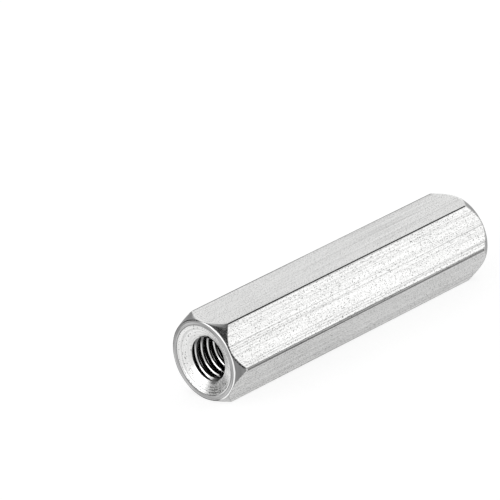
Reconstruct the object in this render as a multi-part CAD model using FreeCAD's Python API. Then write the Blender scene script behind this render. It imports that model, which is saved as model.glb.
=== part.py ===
import FreeCAD, Part
import math
import os
from FreeCAD import Vector

# Coupling nut: one piece of drawn hexagonal steel bar, faced, dished and tapped from both ends.
# Sizes are in millimetres and angles in degrees.
# The nut lies on one of its flats, with its bore along X and that flat's normal along -Z.
# The origin is on the bore's axis, at the middle of the nut's length.

# Drawn bar
across_flats = 8.0
nut_length = 35.0
edge_radius = 0.26

# Turned ends
face_margin = 0.04
rim_width = 0.48
dish_angle = 21.0
throat_radius = 2.35
lead_in_angle = 30.0
corner_chamfer_angle = 30.0

# Metric thread, right-handed, with the standard profile's crest and root flats, tapped from each end
thread_diameter = 5.0
thread_pitch = 0.8
threaded_depth = 9.0
tap_lead = 1.6
thread_start = 125.0
flank_angle = 30.0
crest_share = 1 / 4
root_share = 1 / 8

# Sizes that follow from the ones above
half_length = nut_length / 2
bar_corner = across_flats / math.sqrt(3)
face_radius = across_flats / 2 - face_margin
dish_radius = face_radius - rim_width
root_radius = thread_diameter / 2
groove_mouth = thread_pitch * (1 - crest_share)
groove_root = thread_pitch * root_share
groove_depth = (groove_mouth - groove_root) / 2 / math.tan(math.radians(flank_angle))
crest_radius = root_radius - groove_depth
dish_depth = (dish_radius - throat_radius) * math.tan(math.radians(dish_angle))

# How far a cutting tool reaches past the metal that it removes
overrun = 1.0
# Faces closer than this count as touching when the tools are cut from the bar
cut_tolerance = 0.0001
# The groove tool starts this far inside the crests, where neighbouring turns are still apart
groove_overlap = groove_depth / 4

bore_axis = Vector(0, 0, 1)
centre = Vector(0, 0, 0)


def turned(outline):
    """A solid of revolution about the bore's axis. The outline is a list of (radius, height)."""
    points = [Vector(radius, 0, height) for radius, height in outline]
    profile = Part.Face(Part.makePolygon(points + points[:1]))
    return profile.revolve(centre, bore_axis, 360)


def at_both_ends(tool):
    """The tool as made for the lower end, with its copy turned over to the upper end."""
    other = tool.copy()
    other.rotate(centre, Vector(1, 0, 0), 180)
    return [tool, other]


def drawn_bar():
    """Hexagonal bar, standing on its end, with the small radius that drawing leaves on its long edges."""
    angles = [math.radians(30 + 60 * corner) for corner in range(6)]
    corners = [Vector(bar_corner * math.cos(a), bar_corner * math.sin(a), -half_length) for a in angles]
    bar = Part.Face(Part.makePolygon(corners + corners[:1])).extrude(bore_axis * nut_length)
    long_edges = [edge for edge in bar.Edges if edge.Vertexes[0].Z * edge.Vertexes[1].Z < 0]
    return bar.makeFillet(edge_radius, long_edges)


def end_envelope():
    """A turned body with cones at its ends, which takes the corners off the bar's end faces."""
    widest = bar_corner + overrun
    cone_height = (widest - face_radius) / math.tan(math.radians(corner_chamfer_angle))
    return turned([
        (0, -half_length),
        (face_radius, -half_length),
        (widest, cone_height - half_length),
        (widest, half_length - cone_height),
        (face_radius, half_length),
        (0, half_length),
    ])


def bore():
    """The drilled core, drawn as four quarter arcs so that the thread's crests are quarter-turn faces."""
    below = Vector(0, 0, -half_length - overrun)
    arcs = []
    for quarter in range(4):
        first = thread_start + 90 * quarter
        arcs.append(Part.makeCircle(crest_radius, below, bore_axis, first, first + 90))
    return Part.Face(Part.Wire(arcs)).extrude(bore_axis * (nut_length + 2 * overrun))


def countersink():
    """The shallow dish in the lower end face and, inside it, the steeper lead-in to the thread."""
    outside = dish_radius + overrun / math.tan(math.radians(dish_angle))
    throat = dish_depth - half_length
    tip = throat + throat_radius * math.tan(math.radians(lead_in_angle))
    return turned([
        (0, -half_length - overrun),
        (outside, -half_length - overrun),
        (throat_radius, throat),
        (0, tip),
    ])


def groove_profile(height):
    """Section of the groove between two crests, on the half plane where a turn starts."""
    inner_radius = crest_radius - groove_overlap
    half_mouth = groove_mouth / 2 + groove_overlap * math.tan(math.radians(flank_angle))
    half_root = groove_root / 2
    points = [
        Vector(inner_radius, 0, height - half_mouth),
        Vector(root_radius, 0, height - half_root),
        Vector(root_radius, 0, height + half_root),
        Vector(inner_radius, 0, height + half_mouth),
    ]
    return Part.makePolygon(points + points[:1])


def tap_teeth():
    """The room that the tap's teeth sweep: their full height, then the lead at its tip, ground to a cone."""
    outside = -half_length - 2 * overrun
    tip = threaded_depth - half_length
    slope = tap_lead / groove_depth
    widest = root_radius + groove_overlap
    narrowest = crest_radius - 2 * groove_overlap
    return turned([
        (0, outside),
        (widest, outside),
        (widest, tip - (widest - crest_radius) * slope),
        (narrowest, tip + (crest_radius - narrowest) * slope),
        (0, tip + (crest_radius - narrowest) * slope),
    ])


def thread_groove():
    """The groove that a tap leaves, swept turn by turn from outside the lower end until the tap's tip."""
    turns = math.ceil(threaded_depth / thread_pitch) + 2
    start = threaded_depth + thread_pitch - half_length - turns * thread_pitch
    path = []
    for turn in range(turns):
        helix = Part.makeHelix(thread_pitch, thread_pitch, crest_radius)
        helix.translate(bore_axis * (start + turn * thread_pitch))
        path += helix.Edges
    sweep = Part.BRepOffsetAPI.MakePipeShell(Part.Wire(path))
    sweep.setFrenetMode(True)
    sweep.add(groove_profile(start))
    sweep.build()
    sweep.makeSolid()
    groove = sweep.shape()
    groove.rotate(centre, bore_axis, thread_start)
    return groove.common(tap_teeth())


def coupling_nut():
    """The finished nut, laid on its flat."""
    blank = drawn_bar().common(end_envelope())
    tools = [bore()] + at_both_ends(countersink()) + at_both_ends(thread_groove())
    nut = blank.cut(tools, cut_tolerance).Solids[0]
    nut.rotate(centre, Vector(0, 1, 0), 90)
    return nut


os.makedirs("parts", exist_ok=True)
nut = coupling_nut()
nut.exportStep("parts/coupling_nut.step")
print("valid", nut.isValid(), "faces", len(nut.Faces), "volume", round(nut.Volume, 3))
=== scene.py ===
import math
from collections import namedtuple

import bmesh
import bpy
import numpy as np
from bpy.props import FloatProperty, FloatVectorProperty, IntProperty, PointerProperty
from mathutils import Matrix, Vector


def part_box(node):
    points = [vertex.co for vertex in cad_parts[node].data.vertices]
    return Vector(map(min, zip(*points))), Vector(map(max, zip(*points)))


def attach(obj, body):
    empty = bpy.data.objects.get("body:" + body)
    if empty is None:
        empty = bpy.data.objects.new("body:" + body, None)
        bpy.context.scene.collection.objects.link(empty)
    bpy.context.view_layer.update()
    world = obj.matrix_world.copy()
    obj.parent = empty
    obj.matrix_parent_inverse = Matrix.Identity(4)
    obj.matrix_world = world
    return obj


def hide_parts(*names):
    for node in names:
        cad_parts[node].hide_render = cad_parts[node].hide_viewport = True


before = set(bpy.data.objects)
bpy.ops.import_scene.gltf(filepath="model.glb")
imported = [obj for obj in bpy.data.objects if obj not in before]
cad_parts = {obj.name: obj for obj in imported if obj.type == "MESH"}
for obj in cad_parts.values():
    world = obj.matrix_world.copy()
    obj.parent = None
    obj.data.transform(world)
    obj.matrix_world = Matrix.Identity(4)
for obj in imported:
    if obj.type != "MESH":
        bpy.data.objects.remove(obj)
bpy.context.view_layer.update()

bl_info = {
    "name": "Coupling nut",
    "version": (1, 0, 0),
    "blender": (4, 5, 0),
    "location": "View3D > Sidebar > Nut",
    "description": "Makes a drawn, turned and tapped coupling nut, with its stage and camera",
    "category": "Add Mesh",
}

NODE = "coupling_nut"
BODY = "root"
MM = 0.001

lowest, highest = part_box(NODE)

# Zones of the nut's surface, in the order of its material slots
FLAT, CHAMFER, BREAK, RIM, DISH, FLANK, CREST, ROOT = range(8)

# The hexagon's corners, the angle from one to the next, and half of that
CORNERS = 6
SECTOR = 2 * math.pi / CORNERS
HALF_SECTOR = SECTOR / 2

# The thread's standard profile
FLANK_ANGLE = math.radians(30)
CREST_SHARE = 1 / 4
ROOT_SHARE = 1 / 8

# How finely the surface is divided
ARC_STEPS = 8
FLAT_STEPS = 21
DISH_ROWS = 28
RIM_ROWS = 15
BORE_ROWS = 3
# Rows along a flat, as shares of the way from the chamfer to the nut's middle
FLAT_ROWS = (0.01, 0.04, 0.1, 0.2, 0.35, 0.5, 0.65, 0.82, 1.0)
# Rows down the chamfer, as shares of the way to the rim. The first ones can carry the painted highlight of
# the flat's end.
CHAMFER_ROWS = (0.12, 0.3, 0.5, 0.75, 0.93, 1)
HIGHLIGHTED_ROWS = 2
# Rows over the break between chamfer and rim, as shares of the way
BREAK_ROWS = (1 / 3, 2 / 3)
# Rows down a flank of the thread, as shares of the way from crest to root
FLANK_ROWS = (0, 1 / 3, 2 / 3, 1)
# Turns in the thread's rows over those that the threaded depth holds, and how many lie past its end
SPARE_TURNS = 3
TURNS_PAST_END = 1
# The break above a corner's chamfer is at most this share of the chamfer's length
LARGEST_BREAK = 1 / 3
# Points nearer than this share of the crest's break are drawn together
CLOSE_SHARE = 0.5
# Steps of one turn of the thread, from crest to crest, that lie on the crest and on the flank that faces
# the opening. The crest's steps take the bright colour as a painted highlight; the others are painted near
# black, as painted shade in the groove.
CREST_STEPS = (0, 1, 13)
FLANK_STEPS = (9, 10, 11)
# How closely the crossing of thread and countersink is found, as a share of a row's step
CROSSING_TOLERANCE = 1e-6
# The thread's rows begin on the dish, this far outside the thread's roots
THREAD_MARGIN = 0.02 * MM
# The halves are joined where their points lie this near the middle and each other, in metres
MIDDLE_REACH = 1e-8
WELD_REACH = 1e-6
# Edges that bend by more than this look sharp
SHARP_ANGLE = math.radians(35)

# Painted shade along each long edge, in place of the dark reflection that a rounded edge shows: how dark,
# and over what share of its width, from the corner at +Y on. Over 1, a larger part of the width is fully
# dark.
PAINTED_EDGE_SHADE = ((0.6, 1.0), (0.8, 1.2), (2.0, 0.55), (0.65, 1.25), (0.4, 1.2), (0.6, 1.0))
# How fast that fades at the sides, from one share of the width to the next
EDGE_FADE = 4
# Painted shade at the end of each flat, by the chamfer: how dark, from the one between the first two
# corners on
PAINTED_END_SHADE = (0.3, 0.0, 1.0, 0.0, 0.3, 0.3)
# How dark the painted shade is on the breaks at the rim's edge and at the dish's mouth, where no painted
# highlight lies
PAINTED_RIM_SHADE = 0.7
PAINTED_MOUTH_SHADE = 0.45
# Where painted highlights lie on the flats' ends, the chamfer and the small breaks: middle and reach, as
# angles about the bore
PAINTED_END_HIGHLIGHT = (math.radians(95), math.radians(30))
PAINTED_RIM_HIGHLIGHT = (math.radians(165), math.radians(80))
PAINTED_MOUTH_HIGHLIGHT = (math.radians(213), math.radians(35))
PAINTED_CORNER_HIGHLIGHT = (math.radians(240), math.radians(24))
# Where painted shade darkens the chamfer, and how dark it is there
PAINTED_CORNER_SHADE_STRETCH = (math.radians(128), math.radians(28))
PAINTED_CORNER_SHADE = 1.3
# Where painted shade darkens the dish, and how dark it is there
PAINTED_DISH_SHADE_STRETCH = (math.radians(231), math.radians(40))
PAINTED_DISH_SHADE = 0.55
# Where the thread's flanks are left bright, how dark the painted shade is elsewhere, and where a softer
# painted highlight lies on them
THREAD_UNSHADED_STRETCH = (math.radians(292), math.radians(43))
PAINTED_THREAD_SHADE = 0.8
PAINTED_THREAD_GLINT = (math.radians(348), math.radians(30))
# How fast these stretches fade at their ends
PAINTED_LIGHT_FADE = 5

# Rings that the turning tool left in the dish and on the rim: radius, depth and width
TOOL_RINGS = (
    (2.70 * MM, 0.005 * MM, 0.035 * MM),
    (2.94 * MM, 0.007 * MM, 0.04 * MM),
    (3.17 * MM, 0.008 * MM, 0.05 * MM),
    (3.40 * MM, 0.012 * MM, 0.04 * MM),
    (3.63 * MM, 0.012 * MM, 0.035 * MM),
    (3.79 * MM, 0.012 * MM, 0.035 * MM),
)

# One row of the surface's grid: where it lies, the zone that it ends, and how much painted shade and
# painted highlight it carries
Row = namedtuple("Row", "depth radius zone rub shine", defaults=(0.0, 0.0))

# One texture of a finish: its stretch along the axes, its scale per millimetre and its detail, then the
# range of the noise that counts, and the steel's brightness at the low and at the high end of it
Texture = namedtuple("Texture", "stretch scale detail low high at_low at_high")

# Drawn flats: broad streaks, fine hairs, long dark lines, dark specks and a faint cloud
STREAKS = Texture((0.05, 1, 1), 5.0, 4.0, 0.3, 0.7, 0.95, 1.05)
HAIRS = Texture((0.006, 1, 1), 11.0, 0.0, 0.28, 0.44, 0.8, 1.0)
LINES = Texture((0.002, 1, 1), 9.0, 0.0, 0.28, 0.36, 0.72, 1.0)
SPECKS = Texture((0.8, 1, 1), 11.0, 0.0, 0.22, 0.44, 0.3, 1.0)
CLOUD = Texture((0.3, 1, 1), 0.7, 2.0, 0.3, 0.7, 0.97, 1.03)
# Turned faces: a fine grain, and the dish's pits
GRAIN = Texture((1, 1, 1), 12.0, 2.0, 0.3, 0.7, 0.95, 1.05)
PITS = Texture((1, 1, 1), 7.0, 0.0, 0.7, 0.75, 1.0, 0.3)
# Thread: scratches that follow the turns
SCRATCHES = Texture((1, 0.1, 0.1), 14.0, 3.0, 0.3, 0.7, 0.85, 1.1)

# Fine rings of the turned faces: their scale per millimetre and detail, the range of the noise that
# counts, and how much they change over a millimetre round the bore
RING_SCALE = 6.5
RING_DETAIL = 3.0
RING_RANGE = (0.35, 0.62)
RING_DRIFT = 0.04

# How unevenly the painted shade is dark, by the flats' hairs and by the turned faces' grain: the range of
# the noise that counts, and the darkness at its low and at its high end
HAIR_PATCHES = (0.35, 0.6, 1.25, 0.75)
GRAIN_PATCHES = (0.4, 0.6, 1.5, 0.5)

# Roughness of the drawn flats: the range of the streaks' noise, and the roughness at its two ends
STREAK_ROUGHNESS = (0.3, 0.7, 0.32, 0.42)
# Relief of the textures, in millimetres
STREAK_RELIEF = 0.008
SPECK_RELIEF = 0.003
RING_RELIEF = 0.012
GRAIN_RELIEF = 0.002

# Sockets of a Mix node: its share, its two numbers and their result, its two colours and their result
MIX_SHARE = 0
MIX_NUMBERS = (2, 3)
MIXED_NUMBER = 0
MIX_COLOURS = (6, 7)
MIXED_COLOUR = 2

# Soft lamps: the direction from the nut, the distance and side in metres, and how bright each looks
Lamp = namedtuple("Lamp", "name direction distance side radiance")
LAMPS = (
    Lamp("flat_lamp", (0.62, -0.70, 0.36), 0.5, 0.25, 1.05),
    Lamp("face_lamp", (-0.89, 0.25, 0.38), 0.5, 0.38, 1.1),
    Lamp("back_lamp", (0.64, 0.64, 0.43), 0.5, 0.35, 0.3),
)

# The darker ceiling and screen that the metal shows: their directions, the screen's as an angle about the
# vertical from +X, and the angles from those directions between which they fade in
UPWARDS = (0, 0, 1)
CEILING_FADE = (math.radians(55), math.radians(30))
SCREEN_AZIMUTH = math.radians(108)
SCREEN_FADE = (math.radians(32), math.radians(22))

# The camera sees from this share of its distance on, as far as this many times the floor's side
NEAR_SHARE = 1 / 20
FAR_SIDES = 2


def painted_light_over(angles, stretch):
    """How much painted shade or painted highlight each column gets, from 0 to 1, over a stretch of angles.
    """
    middle, reach = stretch
    return np.clip((np.cos(angles - middle) - math.cos(reach)) * PAINTED_LIGHT_FADE, 0, 1)


def dish_painted_shade(angles):
    """How much painted shade the dish gets in each column."""
    return PAINTED_DISH_SHADE * painted_light_over(angles, PAINTED_DISH_SHADE_STRETCH)


class NutSizes(bpy.types.PropertyGroup):
    """Sizes of the nut. The overall ones come from the frame."""

    length: FloatProperty(
        name="Length", description="Length of the nut along its bore",
        default=highest.x - lowest.x, unit="LENGTH")
    across_flats: FloatProperty(
        name="Across flats", description="Width of the hexagon between two flats",
        default=highest.z - lowest.z, unit="LENGTH")
    edge_radius: FloatProperty(
        name="Edge radius", description="Radius that drawing leaves on the long edges",
        default=0.26 * MM, unit="LENGTH")
    face_margin: FloatProperty(
        name="Face margin", description="How far the end face stays inside the flats",
        default=0.04 * MM, unit="LENGTH")
    rim_width: FloatProperty(
        name="Rim width", description="Width of the flat ring round the dish",
        default=0.48 * MM, unit="LENGTH")
    dish_angle: FloatProperty(
        name="Dish angle", description="Slope of the dish in the end face",
        default=math.radians(21), unit="ROTATION")
    throat_radius: FloatProperty(
        name="Throat radius", description="Radius at which the dish turns into the lead-in",
        default=2.35 * MM, unit="LENGTH")
    lead_in_angle: FloatProperty(
        name="Lead-in angle", description="Slope of the cone that leads into the thread",
        default=math.radians(30), unit="ROTATION")
    chamfer_angle: FloatProperty(
        name="Chamfer angle", description="Slope of the cone that takes off the corners",
        default=math.radians(30), unit="ROTATION")
    edge_break: FloatProperty(
        name="Edge break", description="Width of the small break on each turned edge",
        default=0.07 * MM, unit="LENGTH")
    crest_break: FloatProperty(
        name="Crest break", description="Width of the small break along the thread's crest",
        default=0.05 * MM, unit="LENGTH")
    crest_slope: FloatProperty(
        name="Crest slope", description="Width of the slope on the crest's deep side, which the tap wore",
        default=0.09 * MM, unit="LENGTH")
    thread_diameter: FloatProperty(
        name="Thread diameter", description="Diameter at the roots of the thread",
        default=5.0 * MM, unit="LENGTH")
    thread_pitch: FloatProperty(
        name="Thread pitch", description="Distance from one turn to the next",
        default=0.8 * MM, unit="LENGTH")
    threaded_depth: FloatProperty(
        name="Threaded depth", description="Depth of the thread from each end face",
        default=9.0 * MM, unit="LENGTH")
    thread_start: FloatProperty(
        name="Thread start", description="Angle about the bore at which the groove ends",
        default=math.radians(35), unit="ROTATION")
    tap_lead: FloatProperty(
        name="Tap lead", description="Length of the cone at the tap's tip, over which the groove fades",
        default=1.6 * MM, unit="LENGTH")


class NutFinishes(bpy.types.PropertyGroup):
    """Colours of the bare steel, one for each way it was worked, some darkened as painted shade, and of
    the painted shade and highlights.
    """

    drawn: FloatVectorProperty(
        name="Drawn flats", description="Colour of the drawn flats",
        default=(0.66, 0.66, 0.655), size=3, subtype="COLOR")
    # Dark colour of all the painted shade: along the long edges and over the other darkened stretches
    edge: FloatVectorProperty(
        name="Drawn edges", description="Colour of the long edges, rubbed dark by the die",
        default=(0.02, 0.02, 0.02), size=3, subtype="COLOR")
    # Darker than the rest of the steel: painted shade in place of the chamfers' dark reflections
    chamfer: FloatVectorProperty(
        name="Chamfer", description="Colour of the turned corner chamfers",
        default=(0.22, 0.22, 0.22), size=3, subtype="COLOR")
    # Bright colour of the painted highlights, and of the thread's crests, where it is a painted highlight
    # too
    bright: FloatVectorProperty(
        name="Broken edges", description="Colour of the small breaks, rubbed bright",
        default=(0.92, 0.92, 0.915), size=3, subtype="COLOR")
    # Darker than the dish of the same turned steel: painted shade in place of the ring's darker reflection
    rim: FloatVectorProperty(
        name="Rim", description="Colour of the faced ring",
        default=(0.37, 0.37, 0.37), size=3, subtype="COLOR")
    dish: FloatVectorProperty(
        name="Dish", description="Colour of the turned dish",
        default=(0.74, 0.74, 0.735), size=3, subtype="COLOR")
    flank: FloatVectorProperty(
        name="Thread flank", description="Colour of the thread's bright flanks",
        default=(0.80, 0.80, 0.795), size=3, subtype="COLOR")
    # Near black: painted shade in the thread's groove
    root: FloatVectorProperty(
        name="Thread root", description="Colour of the thread's dark roots and inward flanks",
        default=(0.04, 0.04, 0.04), size=3, subtype="COLOR")


class StageSettings(bpy.types.PropertyGroup):
    """Floor, light and camera."""

    floor_size: FloatProperty(
        name="Floor size", description="Side of the square floor",
        default=4.0, unit="LENGTH")
    floor_colour: FloatVectorProperty(
        name="Floor colour", description="Colour of the floor",
        default=(0.9, 0.9, 0.9), size=3, subtype="COLOR")
    floor_glow: FloatProperty(
        name="Floor glow", description="Share of the floor's look that is plain white",
        default=0.6, subtype="FACTOR")
    floor_white: FloatProperty(
        name="Floor white", description="Strength of that white, plain white with the lit share added",
        default=1.29)
    room_light: FloatProperty(
        name="Room light", description="Strength of the light from all round",
        default=0.62)
    ceiling: FloatProperty(
        name="Ceiling", description="Brightness of the darker ceiling that the metal reflects",
        default=0.6, subtype="FACTOR")
    screen: FloatProperty(
        name="Screen", description="Brightness of the dark screen at one side that the metal reflects",
        default=0.2, subtype="FACTOR")
    lens: FloatProperty(
        name="Lens", description="Focal length of the camera",
        default=360.0, unit="CAMERA")
    distance: FloatProperty(
        name="Distance", description="Distance from the camera to the nut's middle, along the view",
        default=471.4 * MM, unit="LENGTH")
    azimuth: FloatProperty(
        name="Azimuth", description="Angle of the view about the vertical, from looking along +Y",
        default=math.radians(-44.70), unit="ROTATION")
    elevation: FloatProperty(
        name="Elevation", description="Angle of the camera above the horizon",
        default=math.radians(25.05), unit="ROTATION")
    roll: FloatProperty(
        name="Roll", description="Turn of the camera about its view",
        default=math.radians(3.19), unit="ROTATION")
    photo_side: IntProperty(
        name="Photo side", description="Side of the square photograph, in pixels",
        default=500, subtype="PIXEL")
    photo_centre: FloatVectorProperty(
        name="Centre in photo", description="Pixel at which the nut's middle lies in the photograph",
        default=(333.1, 295.33), size=2)


class NutForm:
    """Sizes that follow from the ones that a user sets, in metres and radians."""

    def __init__(self, sizes):
        self.half_length = sizes.length / 2
        self.flat_distance = sizes.across_flats / 2
        self.edge_radius = sizes.edge_radius
        self.edge_centre = (self.flat_distance - self.edge_radius) / math.cos(HALF_SECTOR)
        self.face_radius = self.flat_distance - sizes.face_margin
        self.dish_radius = self.face_radius - sizes.rim_width
        self.dish_slope = math.tan(sizes.dish_angle)
        self.dish_angle = sizes.dish_angle
        self.chamfer_angle = sizes.chamfer_angle
        self.edge_break = sizes.edge_break
        self.crest_break = sizes.crest_break
        self.crest_slope = sizes.crest_slope
        self.pitch = sizes.thread_pitch
        self.flank_slope = math.tan(FLANK_ANGLE)
        self.root_radius = sizes.thread_diameter / 2
        self.half_root = self.pitch * ROOT_SHARE / 2
        self.half_mouth = self.pitch * (1 - CREST_SHARE) / 2
        self.groove_depth = (self.half_mouth - self.half_root) / self.flank_slope
        self.crest_radius = self.root_radius - self.groove_depth
        self.throat_radius = sizes.throat_radius
        self.throat = (self.dish_radius - self.throat_radius) * self.dish_slope
        self.lead_in_slope = math.tan(sizes.lead_in_angle)
        self.outermost = self.root_radius + THREAD_MARGIN
        self.outermost_depth = (self.dish_radius - self.outermost) * self.dish_slope
        self.threaded_depth = sizes.threaded_depth
        self.thread_start = sizes.thread_start
        self.tap_slope = self.groove_depth / sizes.tap_lead

    def columns(self, edges):
        """Angles about the bore, from the first corner on, with the painted shade of the long edges and of
        the flats' ends there.
        """
        bend = np.linspace(-HALF_SECTOR, HALF_SECTOR, ARC_STEPS + 1)
        arc_across = self.edge_radius * np.sin(bend)
        arc = np.arctan2(arc_across, self.edge_centre + self.edge_radius * np.cos(bend))
        support = self.edge_break / self.flat_distance
        flat_start = arc[-1] + support
        flat = np.linspace(flat_start, SECTOR - flat_start, FLAT_STEPS)
        sector = np.concatenate([arc, flat])
        nearness = 1 - np.abs((sector + HALF_SECTOR) % SECTOR - HALF_SECTOR) / arc[-1]
        angles = np.concatenate([sector + corner * SECTOR for corner in range(CORNERS)])
        edge_shade = [dark * np.clip((nearness - 1 + share) * EDGE_FADE, 0, 1) for dark, share in edges]
        end_shade = np.repeat(PAINTED_END_SHADE, len(sector))
        return angles, np.concatenate(edge_shade), end_shade

    def bar_radius(self, angles):
        """Distance from the bore's axis to the drawn bar's surface."""
        off_corner = (angles + HALF_SECTOR) % SECTOR - HALF_SECTOR
        off_flat = angles % SECTOR - HALF_SECTOR
        flat = self.flat_distance / np.cos(off_flat)
        across = self.edge_centre * np.sin(off_corner)
        reach = np.sqrt(np.maximum(self.edge_radius ** 2 - across ** 2, 0))
        rounded = self.edge_centre * np.cos(off_corner) + reach
        arc_end = math.atan2(
            self.edge_radius * math.sin(HALF_SECTOR),
            self.edge_centre + self.edge_radius * math.cos(HALF_SECTOR))
        return np.where(np.abs(off_corner) < arc_end, rounded, flat)

    def groove_side(self, land_break):
        """One side of the groove, from its break on the crest to the one at the root."""
        slant = math.hypot(1, self.flank_slope)
        along = self.crest_break * self.flank_slope / slant
        inward = self.crest_break / slant
        crest = np.array([self.half_mouth - along, self.crest_radius + inward])
        root = np.array([self.half_root + along / 2, self.root_radius - inward / 2])
        flank = [crest + (root - crest) * share for share in FLANK_ROWS]
        return [(self.half_mouth + land_break, self.crest_radius), *flank,
                (self.half_root - self.crest_break / 2, self.root_radius)]

    def groove_section(self):
        """One pitch of the thread: offsets from the groove's centre and radii, with small breaks."""
        shallow = [(-offset, radius) for offset, radius in self.groove_side(self.crest_slope)]
        deep = reversed(self.groove_side(self.crest_break))
        return np.array([(-self.pitch / 2, self.crest_radius), *shallow, (0, self.root_radius), *deep])

    def thread_rows(self, angles):
        """Depth from the end face and radius of the thread's rows in each column."""
        first = angles[0]
        phase = (self.thread_start - first) / (2 * math.pi) % 1 * self.pitch
        innermost = self.threaded_depth - phase
        turns = math.ceil((self.threaded_depth - self.outermost_depth) / self.pitch) + SPARE_TURNS
        turn = np.arange(turns) - turns + 1 + TURNS_PAST_END
        centre = innermost + self.pitch * ((angles[:, None] - first) / (2 * math.pi) + turn[None, :])
        section = self.groove_section()
        depth = (centre[:, :, None] + section[:, 0]).reshape(len(angles), -1)
        radius = np.tile(section[:, 1], (len(angles), turns))
        tap = self.crest_radius + (self.threaded_depth - depth) * self.tap_slope
        radius = np.minimum(radius, np.maximum(tap, self.crest_radius))
        return depth, radius, len(section)

    def countersink_radius(self, depth):
        """Radius of the dish and, past its throat, of the lead-in at a depth from the end face."""
        dish = self.dish_radius - depth / self.dish_slope
        lead_in = self.throat_radius - (depth - self.throat) / self.lead_in_slope
        return np.maximum(dish, lead_in)

    def crossing(self, depth, radius):
        """Row and depth of the last place in a column where the countersink meets the thread."""
        last = np.nonzero(self.countersink_radius(depth) > radius)[0][-1]
        low, high = 0.0, 1.0
        while high - low > CROSSING_TOLERANCE:
            share = (low + high) / 2
            place = depth[last] + share * (depth[last + 1] - depth[last])
            thread = radius[last] + share * (radius[last + 1] - radius[last])
            if self.countersink_radius(place) > thread:
                low = share
            else:
                high = share
        return (last if low < 0.5 else last + 1), place

    def tapped_rows(self, angles):
        """The thread's rows with the countersink laid over them, and the rows that carry its creases."""
        depth, radius, per_turn = self.thread_rows(angles)
        close = self.crest_break * CLOSE_SHARE
        inner_end = self.threaded_depth + self.pitch / 2
        turned = np.zeros(depth.shape, bool)
        creases = np.full((2, len(angles)), -1)
        for column in range(len(angles)):
            row, place = self.crossing(depth[column], radius[column])
            depth[column, row] = place
            turned[column, :row + 1] = True
            creases[0, column] = row
            throat_row = np.abs(depth[column, :row] - self.throat).argmin()
            if place > self.throat + close and depth[column, throat_row] > self.outermost_depth:
                depth[column, throat_row] = self.throat
                creases[1, column] = throat_row
        depth[depth < self.outermost_depth + close] = self.outermost_depth
        depth[depth > inner_end - close] = inner_end
        radius = np.where(turned, self.countersink_radius(depth), radius)
        return depth, radius, turned, creases, per_turn

    def relief(self, radius):
        """How deep the turning tool's rings are at a radius."""
        return sum(
            depth * math.exp(-((radius - ring) / width) ** 2)
            for ring, depth, width in TOOL_RINGS)

    def face_rows(self, angles):
        """The turned rows from the rim's outer edge to the thread's."""
        small = self.edge_break
        rows = []
        for radius in np.linspace(self.face_radius - small, self.dish_radius + small / 2, RIM_ROWS):
            rows.append(Row(self.relief(radius), radius, RIM))
        # Painted highlights and painted shade on the breaks at the rim's edge and at the dish's mouth, and
        # painted shade over part of the dish
        rim_highlight = painted_light_over(angles, PAINTED_RIM_HIGHLIGHT)
        rows[0] = rows[0]._replace(zone=BREAK, rub=PAINTED_RIM_SHADE * (1 - rim_highlight), shine=rim_highlight)
        mouth_highlight = painted_light_over(angles, PAINTED_MOUTH_HIGHLIGHT)
        mouth_shade = PAINTED_MOUTH_SHADE * (1 - mouth_highlight)
        rows[-1] = rows[-1]._replace(rub=mouth_shade, shine=mouth_highlight)
        mouth = self.dish_radius - small / 2 * math.cos(self.dish_angle)
        dish_shade = dish_painted_shade(angles)
        for radius in np.linspace(mouth, self.outermost, DISH_ROWS, endpoint=False):
            drop = (self.dish_radius - radius) * self.dish_slope
            rows.append(Row(drop + self.relief(radius), radius, DISH, dish_shade))
        rows[RIM_ROWS] = rows[RIM_ROWS]._replace(zone=BREAK, rub=mouth_shade, shine=mouth_highlight)
        return rows

    def side_rows(self, angles, edge_shade, end_shade):
        """The rows from the nut's middle, along the bar, down the chamfer and over its break."""
        bar = self.bar_radius(angles)
        slope = math.tan(self.chamfer_angle)
        crease = (bar - self.face_radius) / slope
        small = np.minimum(self.edge_break, crease * LARGEST_BREAK)
        rows = []
        for share in reversed(FLAT_ROWS):
            rows.append(Row(crease + (self.half_length - crease) * share, bar, FLAT, edge_shade))
        # Painted highlights and painted shade on the flats' ends, the chamfer and its break
        end_highlight = painted_light_over(angles, PAINTED_END_HIGHLIGHT)
        rows.append(Row(crease + small, bar, FLAT, end_shade, end_highlight))
        lowest_depth = crease - small * math.cos(self.chamfer_angle)
        highest_depth = small * math.cos(self.chamfer_angle)
        rows.append(Row(lowest_depth, self.face_radius + lowest_depth * slope, FLAT, end_shade, end_highlight))
        corner_highlight = painted_light_over(angles, PAINTED_CORNER_HIGHLIGHT)
        corner_shade = PAINTED_CORNER_SHADE * painted_light_over(angles, PAINTED_CORNER_SHADE_STRETCH)
        for share in CHAMFER_ROWS:
            depth = lowest_depth + (highest_depth - lowest_depth) * share
            shine = np.maximum(corner_highlight, end_highlight * (share < CHAMFER_ROWS[HIGHLIGHTED_ROWS]))
            rows.append(Row(depth, self.face_radius + depth * slope, CHAMFER, corner_shade, shine))
        rim_highlight = painted_light_over(angles, PAINTED_RIM_HIGHLIGHT)
        rim_shade = PAINTED_RIM_SHADE * (1 - rim_highlight)
        rows[-1] = rows[-1]._replace(rub=rim_shade, shine=rim_highlight)
        for share in BREAK_ROWS:
            depth = (1 - share) ** 2 * highest_depth
            step_in = (1 - share) ** 2 * highest_depth * slope - share ** 2 * self.edge_break
            rows.append(Row(depth, self.face_radius + step_in, BREAK, rim_shade, rim_highlight))
        return rows


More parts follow.
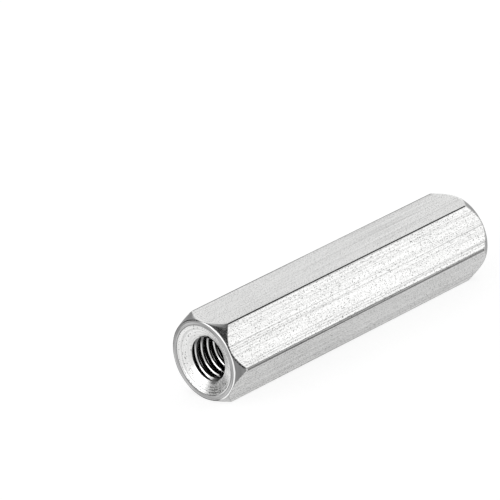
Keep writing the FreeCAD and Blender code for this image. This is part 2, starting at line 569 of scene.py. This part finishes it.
class NutMesh:
    """Grid of one half: columns round the bore, rows from the bar's middle round to the bore's middle."""

    def __init__(self, form, edges):
        self.form = form
        self.angles, edge_shade, end_shade = form.columns(edges)
        self.columns = len(self.angles)
        rows = form.side_rows(self.angles, edge_shade, end_shade) + form.face_rows(self.angles)
        depth, radius, self.turned, creases, self.per_turn = form.tapped_rows(self.angles)
        self.first_thread = len(rows)
        self.creases = np.where(creases < 0, -1, creases + self.first_thread)
        self.last_thread = self.first_thread + depth.shape[1] - 1
        bore_depths = np.linspace(depth[0, -1], form.half_length, BORE_ROWS + 1)[1:]
        bore_radii = [form.crest_radius] * BORE_ROWS
        # Painted shade on the thread outside one stretch round the bore, and a painted highlight at
        # another
        thread_shade = PAINTED_THREAD_SHADE * (1 - painted_light_over(self.angles, THREAD_UNSHADED_STRETCH))
        thread_shade = np.where(self.turned, dish_painted_shade(self.angles)[:, None], thread_shade[:, None])
        thread_highlight = np.where(self.turned, 0, painted_light_over(self.angles, PAINTED_THREAD_GLINT)[:, None])
        plain = [0.0] * BORE_ROWS
        self.depth = self.grid([row.depth for row in rows], depth, bore_depths)
        self.radius = self.grid([row.radius for row in rows], radius, bore_radii)
        self.rub = self.grid([row.rub for row in rows], thread_shade, plain)
        self.shine = self.grid([row.shine for row in rows], thread_highlight, plain)
        self.zones = [row.zone for row in rows]
        self.vertices = []
        # Amounts of painted shade and of painted highlight at each vertex
        self.painted_marks = {"painted": [], "painted_highlight": []}
        self.faces = []
        self.face_zones = []

    def grid(self, face, thread, bore):
        """A value for each column and row: on the faces, over the thread and along the plain bore."""
        return np.stack([value * np.ones(self.columns) for value in (*face, *thread.T, *bore)], 1)

    def number_vertices(self):
        """Gives each grid point its vertex. Points drawn together in one column share a vertex."""
        index = np.zeros(self.depth.shape, int)
        for column, angle in enumerate(self.angles):
            last = None
            for row in range(self.depth.shape[1]):
                point = (self.depth[column, row], self.radius[column, row])
                if point != last:
                    x = point[0] - self.form.half_length
                    y = point[1] * math.cos(angle)
                    z = point[1] * math.sin(angle)
                    self.vertices.append((x, y, z))
                    self.painted_marks["painted"].append(self.rub[column, row])
                    self.painted_marks["painted_highlight"].append(self.shine[column, row])
                    last = point
                index[column, row] = len(self.vertices) - 1
        return index

    def next_row(self, row):
        """Row of the first column that a row of the last one meets: the thread has gone on by a turn."""
        if self.first_thread <= row <= self.last_thread:
            return min(row + self.per_turn, self.last_thread)
        return row

    def zone(self, column, row):
        """Zone of the face between a row and the next one."""
        if row + 1 < self.first_thread:
            return self.zones[row + 1]
        thread_row = row - self.first_thread
        if thread_row + 1 >= self.turned.shape[1]:
            return FLANK
        if self.turned[column, thread_row + 1]:
            return DISH
        step = thread_row % self.per_turn
        if step in CREST_STEPS:
            return CREST
        return FLANK if step in FLANK_STEPS else ROOT

    def add_face(self, corners, zone):
        """Adds a face, leaving out corners that share a vertex."""
        kept = [v for v, following in zip(corners, corners[1:] + corners[:1]) if v != following]
        if len(kept) > 2:
            self.faces.append(kept)
            self.face_zones.append(zone)

    def build(self):
        """Fills in the faces between neighbouring columns."""
        index = self.number_vertices()
        rows = self.depth.shape[1]
        for column in range(self.columns):
            wraps = column + 1 == self.columns
            beside = 0 if wraps else column + 1
            for row in range(rows - 1):
                other = self.next_row(row) if wraps else row
                other_next = self.next_row(row + 1) if wraps else row + 1
                a = index[column, row]
                b = index[beside, other]
                c = index[beside, other_next]
                d = index[column, row + 1]
                zone = self.zone(column, row)
                here = self.creases[:, column]
                there = self.creases[:, beside]
                if np.any((here == row) & (there == other_next)):
                    self.add_face([a, b, c], zone)
                    self.add_face([a, c, d], zone)
                elif np.any((here == row + 1) & (there == other)):
                    self.add_face([a, b, d], zone)
                    self.add_face([b, c, d], zone)
                else:
                    self.add_face([a, b, c, d], zone)


def turned_over(vertices):
    """The far half is the near one, turned half round about the vertical."""
    return [(-x, -y, z) for x, y, z in vertices]


def edges_met_turned_over():
    """The long edges' painted shade in the order in which the far half meets them."""
    return [PAINTED_EDGE_SHADE[(CORNERS // 2 - corner) % CORNERS] for corner in range(CORNERS)]


def nut_mesh(form):
    """The whole surface, as two halves that meet at the middle, with their painted shade, painted
    highlights and zones.
    """
    near = NutMesh(form, PAINTED_EDGE_SHADE)
    far = NutMesh(form, edges_met_turned_over())
    near.build()
    far.build()
    count = len(near.vertices)
    vertices = near.vertices + turned_over(far.vertices)
    faces = near.faces + [[v + count for v in face] for face in far.faces]
    zones = np.array(near.face_zones + far.face_zones, np.int32)
    mesh = bpy.data.meshes.new(NODE)
    mesh.from_pydata(vertices, [], faces)
    for name in near.painted_marks:
        attribute = mesh.attributes.new(name, "FLOAT", "POINT")
        attribute.data.foreach_set("value", np.array(near.painted_marks[name] + far.painted_marks[name], np.float32))
    mesh.polygons.foreach_set("material_index", zones)
    mesh.polygons.foreach_set("use_smooth", zones != CREST)
    return mesh


def weld_middle(mesh):
    """Joins the two halves along their middle rings."""
    edited = bmesh.new()
    edited.from_mesh(mesh)
    middle = [v for v in edited.verts if abs(v.co.x) < MIDDLE_REACH]
    bmesh.ops.remove_doubles(edited, verts=middle, dist=WELD_REACH)
    bmesh.ops.recalc_face_normals(edited, faces=edited.faces)
    open_edges = [edge for edge in edited.edges if not edge.is_manifold]
    edited.to_mesh(mesh)
    edited.free()
    if open_edges:
        raise RuntimeError(f"the nut's surface has {len(open_edges)} open edges")


def put(tree, socket, value):
    """Gives an input a value, or links another node's output to it."""
    if isinstance(value, bpy.types.NodeSocket):
        tree.links.new(value, socket)
    else:
        socket.default_value = value


def add_node(tree, kind, inputs=None, **settings):
    """Adds a node. Each input is a value or another node's output."""
    node = tree.nodes.new(kind)
    for name, value in settings.items():
        setattr(node, name, value)
    for name, value in (inputs or {}).items():
        put(tree, node.inputs[name], value)
    return node


class Finish:
    """A bare steel finish. Its textures are placed in millimetres on the nut itself."""

    def __init__(self, name):
        self.material = bpy.data.materials.new(name)
        self.material.use_nodes = True
        self.tree = self.material.node_tree
        self.shader = self.tree.nodes["Principled BSDF"]
        self.give("Metallic", 1.0)
        self.place = self.add("ShaderNodeTexCoord").outputs["Object"]

    def add(self, kind, inputs=None, **settings):
        """Adds a node to this finish."""
        return add_node(self.tree, kind, inputs, **settings)

    def give(self, name, value):
        """Gives the shader's input a value, or links another node's output to it."""
        put(self.tree, self.shader.inputs[name], value)

    def stretched(self, factors):
        """The place on the nut in millimetres, with each axis multiplied."""
        inputs = {0: self.place, 1: [factor / MM for factor in factors]}
        return self.add("ShaderNodeVectorMath", inputs, operation="MULTIPLY").outputs[0]

    def product(self, first, second):
        """Two numbers multiplied."""
        return self.add("ShaderNodeMath", {0: first, 1: second}, operation="MULTIPLY").outputs[0]

    def noise(self, place, scale, detail):
        """Noise from 0 to 1, whose spots are about one over the scale in size."""
        inputs = {"Vector": place, "Scale": scale, "Detail": detail}
        return self.add("ShaderNodeTexNoise", inputs).outputs["Fac"]

    def texture(self, texture):
        """The noise of a texture."""
        return self.noise(self.stretched(texture.stretch), texture.scale, texture.detail)

    def remap(self, value, low, high, new_low, new_high):
        """The value moved from its range to a new one, and held inside it."""
        inputs = {"Value": value, "From Min": low, "From Max": high, "To Min": new_low, "To Max": new_high}
        return self.add("ShaderNodeMapRange", inputs).outputs["Result"]

    def brightness(self, noise, texture):
        """How bright the steel is, by the noise of a texture."""
        return self.remap(noise, texture.low, texture.high, texture.at_low, texture.at_high)

    def shaded(self, level, noise, texture):
        """The level made brighter or darker by the noise of a texture."""
        return self.product(level, self.brightness(noise, texture))

    def radius(self):
        """Distance from the bore's axis, in millimetres."""
        across = self.stretched((0, 1, 1))
        return self.add("ShaderNodeVectorMath", {0: across}, operation="LENGTH").outputs["Value"]

    def rings(self):
        """Fine rings about the bore's axis, which change a little on their way round."""
        along = self.stretched((0, RING_DRIFT, RING_DRIFT))
        across = self.add("ShaderNodeCombineXYZ", {"X": self.radius()}).outputs[0]
        place = self.add("ShaderNodeVectorMath", {0: along, 1: across}, operation="ADD").outputs[0]
        return self.noise(place, RING_SCALE, RING_DETAIL)

    def mixed(self, share, first, second, blend_type="MIX"):
        """Two colours mixed. Each is a plain colour or another node's output."""
        inputs = {MIX_SHARE: share}
        for name, colour in zip(MIX_COLOURS, (first, second)):
            inputs[name] = colour if isinstance(colour, bpy.types.NodeSocket) else (*colour, 1.0)
        node = self.add("ShaderNodeMix", inputs, data_type="RGBA", blend_type=blend_type)
        return node.outputs[MIXED_COLOUR]

    def tinted(self, colour, level):
        """The colour made lighter or darker by the level."""
        return self.mixed(1.0, colour, level, "MULTIPLY")

    def with_painted_light(self, metal, painted_marks, unevenness=1.0):
        """The metal's colour with the painted shade and the painted highlights over it."""
        # The first attribute mixes in the dark colour as painted shade, the second the bright colour as
        # painted highlight
        painted = self.add("ShaderNodeAttribute", attribute_name="painted").outputs["Fac"]
        painted_highlight = self.add("ShaderNodeAttribute", attribute_name="painted_highlight").outputs["Fac"]
        dark = self.mixed(self.product(painted, unevenness), metal, painted_marks.edge)
        return self.mixed(painted_highlight, dark, painted_marks.bright)

    def bump(self, height, depth):
        """Relief of this depth in millimetres, over the relief that is there."""
        node = self.add("ShaderNodeBump", {"Height": height, "Distance": depth * MM, "Strength": 1.0})
        normal = self.shader.inputs["Normal"]
        if normal.is_linked:
            put(self.tree, node.inputs["Normal"], normal.links[0].from_socket)
        self.give("Normal", node.outputs["Normal"])


def drawn_steel(colours):
    """Drawn bar: long streaks, hairs and lines, dark specks, and painted shade and highlights, darkest
    along the long edges.
    """
    finish = Finish("drawn_steel")
    streaks = finish.texture(STREAKS)
    hairs = finish.texture(HAIRS)
    specks = finish.texture(SPECKS)
    level = finish.shaded(finish.brightness(streaks, STREAKS), hairs, HAIRS)
    level = finish.shaded(level, finish.texture(LINES), LINES)
    level = finish.shaded(level, specks, SPECKS)
    level = finish.shaded(level, finish.texture(CLOUD), CLOUD)
    metal = finish.tinted(colours.drawn, level)
    finish.give("Base Color", finish.with_painted_light(metal, colours, finish.remap(hairs, *HAIR_PATCHES)))
    finish.give("Roughness", finish.remap(streaks, *STREAK_ROUGHNESS))
    finish.bump(streaks, STREAK_RELIEF)
    finish.bump(specks, SPECK_RELIEF)
    return finish.material


def turned_steel(name, colour, roughness, ring_level, painted_marks=None, pitted=False):
    """Turned face: the tool's fine rings, whose contrast is the ring level, over a grain.

    With the colours for the painted marks given, painted shade and painted highlights lie over it.
    """
    finish = Finish(name)
    rings = finish.rings()
    grain = finish.texture(GRAIN)
    level = finish.remap(rings, *RING_RANGE, 1 - ring_level, 1 + ring_level)
    level = finish.shaded(level, grain, GRAIN)
    if pitted:
        level = finish.shaded(level, finish.texture(PITS), PITS)
    metal = finish.tinted(colour, level)
    if painted_marks:
        metal = finish.with_painted_light(metal, painted_marks, finish.remap(grain, *GRAIN_PATCHES))
    finish.give("Base Color", metal)
    finish.give("Roughness", roughness)
    finish.bump(rings, RING_RELIEF)
    finish.bump(grain, GRAIN_RELIEF)
    return finish.material


def tapped_steel(name, colour, roughness, relief, painted_marks=None):
    """Cut thread: scratches along the turns, whose depth in millimetres is the relief.

    With the colours for the painted marks given, painted shade and painted highlights lie over it.
    """
    finish = Finish(name)
    scratches = finish.texture(SCRATCHES)
    metal = finish.tinted(colour, finish.brightness(scratches, SCRATCHES))
    finish.give("Base Color", finish.with_painted_light(metal, painted_marks) if painted_marks else metal)
    finish.give("Roughness", roughness)
    finish.bump(scratches, relief)
    return finish.material


def nut_materials(colours):
    """The nut's finishes, in the order of its zones."""
    return (
        drawn_steel(colours),
        turned_steel("chamfer_steel", colours.chamfer, roughness=0.34, ring_level=0.12, painted_marks=colours),
        turned_steel("broken_edge_steel", colours.rim, roughness=0.25, ring_level=0.1, painted_marks=colours),
        turned_steel("rim_steel", colours.rim, roughness=0.3, ring_level=0.4),
        turned_steel(
            "dish_steel", colours.dish, roughness=0.22, ring_level=0.14, painted_marks=colours, pitted=True),
        tapped_steel("flank_steel", colours.flank, roughness=0.1, relief=0.004, painted_marks=colours),
        # The crests' bright colour is a painted highlight, and the roots' near black is painted shade
        tapped_steel("crest_steel", colours.bright, roughness=0.12, relief=0.0005, painted_marks=colours),
        tapped_steel("root_steel", colours.root, roughness=0.1, relief=0.006),
    )


class NUT_OT_coupling_nut(bpy.types.Operator):
    """Makes the coupling nut in place of its frame solid"""

    bl_idname = "nut.coupling_nut"
    bl_label = "Coupling nut"

    def execute(self, context):
        mesh = nut_mesh(NutForm(context.scene.nut_sizes))
        weld_middle(mesh)
        mesh.set_sharp_from_angle(angle=SHARP_ANGLE)
        nut = bpy.data.objects.new("coupling_nut_steel", mesh)
        context.scene.collection.objects.link(nut)
        for material in nut_materials(context.scene.nut_finishes):
            mesh.materials.append(material)
        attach(nut, BODY)
        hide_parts(NODE)
        return {"FINISHED"}


def seen_or_mirrored(tree):
    """1 for rays that show the scene directly, in a reflection or through glass."""
    paths = add_node(tree, "ShaderNodeLightPath").outputs
    either = paths["Is Camera Ray"]
    for name in ("Is Glossy Ray", "Is Transmission Ray"):
        inputs = {0: either, 1: paths[name]}
        either = add_node(tree, "ShaderNodeMath", inputs, operation="MAXIMUM").outputs[0]
    return either


def darker_towards(tree, direction, fade, level):
    """1 all round, falling to a level between two angles from a direction of the world."""
    outside, inside = fade
    place = add_node(tree, "ShaderNodeTexCoord").outputs["Generated"]
    along = add_node(tree, "ShaderNodeVectorMath", {0: place, 1: direction}, operation="DOT_PRODUCT")
    inputs = {
        "Value": along.outputs["Value"],
        "From Min": math.cos(outside),
        "From Max": math.cos(inside),
        "To Min": 1.0,
        "To Max": level,
    }
    return add_node(tree, "ShaderNodeMapRange", inputs, interpolation_type="SMOOTHSTEP").outputs["Result"]


def make_world(stage):
    """White backdrop, a darker ceiling and screen that only the metal shows, and plain light all round."""
    world = bpy.data.worlds.new("studio")
    bpy.context.scene.world = world
    world.use_nodes = True
    tree = world.node_tree
    ceiling = darker_towards(tree, UPWARDS, CEILING_FADE, stage.ceiling)
    screen_side = (math.cos(SCREEN_AZIMUTH), math.sin(SCREEN_AZIMUTH), 0)
    screen = darker_towards(tree, screen_side, SCREEN_FADE, stage.screen)
    both = add_node(tree, "ShaderNodeMath", {0: ceiling, 1: screen}, operation="MULTIPLY").outputs[0]
    camera_ray = add_node(tree, "ShaderNodeLightPath").outputs["Is Camera Ray"]
    backdrop = add_node(tree, "ShaderNodeMath", {0: camera_ray, 1: both}, operation="MAXIMUM").outputs[0]
    light, seen = MIX_NUMBERS
    inputs = {MIX_SHARE: seen_or_mirrored(tree), light: stage.room_light, seen: backdrop}
    strength = add_node(tree, "ShaderNodeMix", inputs).outputs[MIXED_NUMBER]
    background = tree.nodes["Background"]
    put(tree, background.inputs["Strength"], strength)
    put(tree, background.inputs["Color"], (1, 1, 1, 1))


def make_floor(stage):
    """Plain pale floor under the nut."""
    half = stage.floor_size / 2
    height = lowest.z
    mesh = bpy.data.meshes.new("floor")
    corners = [(-half, -half, height), (half, -half, height), (half, half, height), (-half, half, height)]
    mesh.from_pydata(corners, [], [(0, 1, 2, 3)])
    floor = bpy.data.objects.new("floor", mesh)
    bpy.context.scene.collection.objects.link(floor)
    material = bpy.data.materials.new("pale_floor")
    material.use_nodes = True
    tree = material.node_tree
    tree.nodes.clear()
    lit = add_node(tree, "ShaderNodeBsdfDiffuse", {"Color": (*stage.floor_colour, 1)}).outputs[0]
    white = add_node(tree, "ShaderNodeEmission", {"Strength": stage.floor_white}).outputs[0]
    inputs = {0: seen_or_mirrored(tree), 1: stage.floor_glow}
    share = add_node(tree, "ShaderNodeMath", inputs, operation="MULTIPLY").outputs[0]
    surface = add_node(tree, "ShaderNodeMixShader", {0: share, 1: lit, 2: white}).outputs[0]
    add_node(tree, "ShaderNodeOutputMaterial", {"Surface": surface})
    mesh.materials.append(material)


def make_lamp(lamp):
    """Square soft lamp that faces the nut."""
    light = bpy.data.lights.new(lamp.name, "AREA")
    light.shape = "SQUARE"
    light.size = lamp.side
    light.energy = lamp.radiance * math.pi * lamp.side ** 2
    holder = bpy.data.objects.new(lamp.name, light)
    place = Vector(lamp.direction).normalized() * lamp.distance
    holder.location = place
    holder.rotation_mode = "QUATERNION"
    holder.rotation_quaternion = place.to_track_quat("Z", "Y")
    bpy.context.scene.collection.objects.link(holder)


def make_camera(stage):
    """Camera at the photograph's viewing angle."""
    azimuth, elevation = stage.azimuth, stage.elevation
    level = math.cos(elevation)
    forward = Vector((-math.sin(azimuth) * level, math.cos(azimuth) * level, -math.sin(elevation)))
    flat_right = forward.cross(Vector(UPWARDS)).normalized()
    right = Matrix.Rotation(stage.roll, 3, forward) @ flat_right
    up = right.cross(forward)
    data = bpy.data.cameras.new("photo_camera")
    data.lens = stage.lens
    pixels = data.lens / data.sensor_width * stage.photo_side
    middle = stage.photo_side / 2
    aside = (stage.photo_centre[0] - middle) / pixels * stage.distance
    below = (stage.photo_centre[1] - middle) / pixels * stage.distance
    camera = bpy.data.objects.new("photo_camera", data)
    camera.location = up * below - right * aside - forward * stage.distance
    camera.rotation_mode = "QUATERNION"
    camera.rotation_quaternion = Matrix((right, up, -forward)).transposed().to_quaternion()
    data.clip_start = stage.distance * NEAR_SHARE
    data.clip_end = stage.floor_size * FAR_SIDES
    bpy.context.scene.collection.objects.link(camera)
    bpy.context.scene.camera = camera


class NUT_OT_stage(bpy.types.Operator):
    """Makes the pale floor, the soft light and the camera"""

    bl_idname = "nut.stage"
    bl_label = "Stage"

    def execute(self, context):
        stage = context.scene.nut_stage
        make_world(stage)
        make_floor(stage)
        for lamp in LAMPS:
            make_lamp(lamp)
        make_camera(stage)
        context.scene.view_settings.view_transform = "Standard"
        return {"FINISHED"}


class NUT_PT_panel(bpy.types.Panel):
    """Lists the steps that make the nut and its stage"""

    bl_label = "Coupling nut"
    bl_idname = "NUT_PT_panel"
    bl_space_type = "VIEW_3D"
    bl_region_type = "UI"
    bl_category = "Nut"

    def draw(self, context):
        layout = self.layout
        for operator in OPERATORS:
            layout.operator(operator.bl_idname)


OPERATORS = (NUT_OT_coupling_nut, NUT_OT_stage)
GROUPS = {"nut_sizes": NutSizes, "nut_finishes": NutFinishes, "nut_stage": StageSettings}


def register():
    for name, group in GROUPS.items():
        bpy.utils.register_class(group)
        setattr(bpy.types.Scene, name, PointerProperty(type=group))
    for operator in OPERATORS:
        bpy.utils.register_class(operator)
    bpy.utils.register_class(NUT_PT_panel)


def unregister():
    bpy.utils.unregister_class(NUT_PT_panel)
    for operator in reversed(OPERATORS):
        bpy.utils.unregister_class(operator)
    for name, group in reversed(GROUPS.items()):
        delattr(bpy.types.Scene, name)
        bpy.utils.unregister_class(group)


def main():
    register()
    bpy.ops.nut.coupling_nut()
    bpy.ops.nut.stage()


if __name__ == "__main__":
    main()
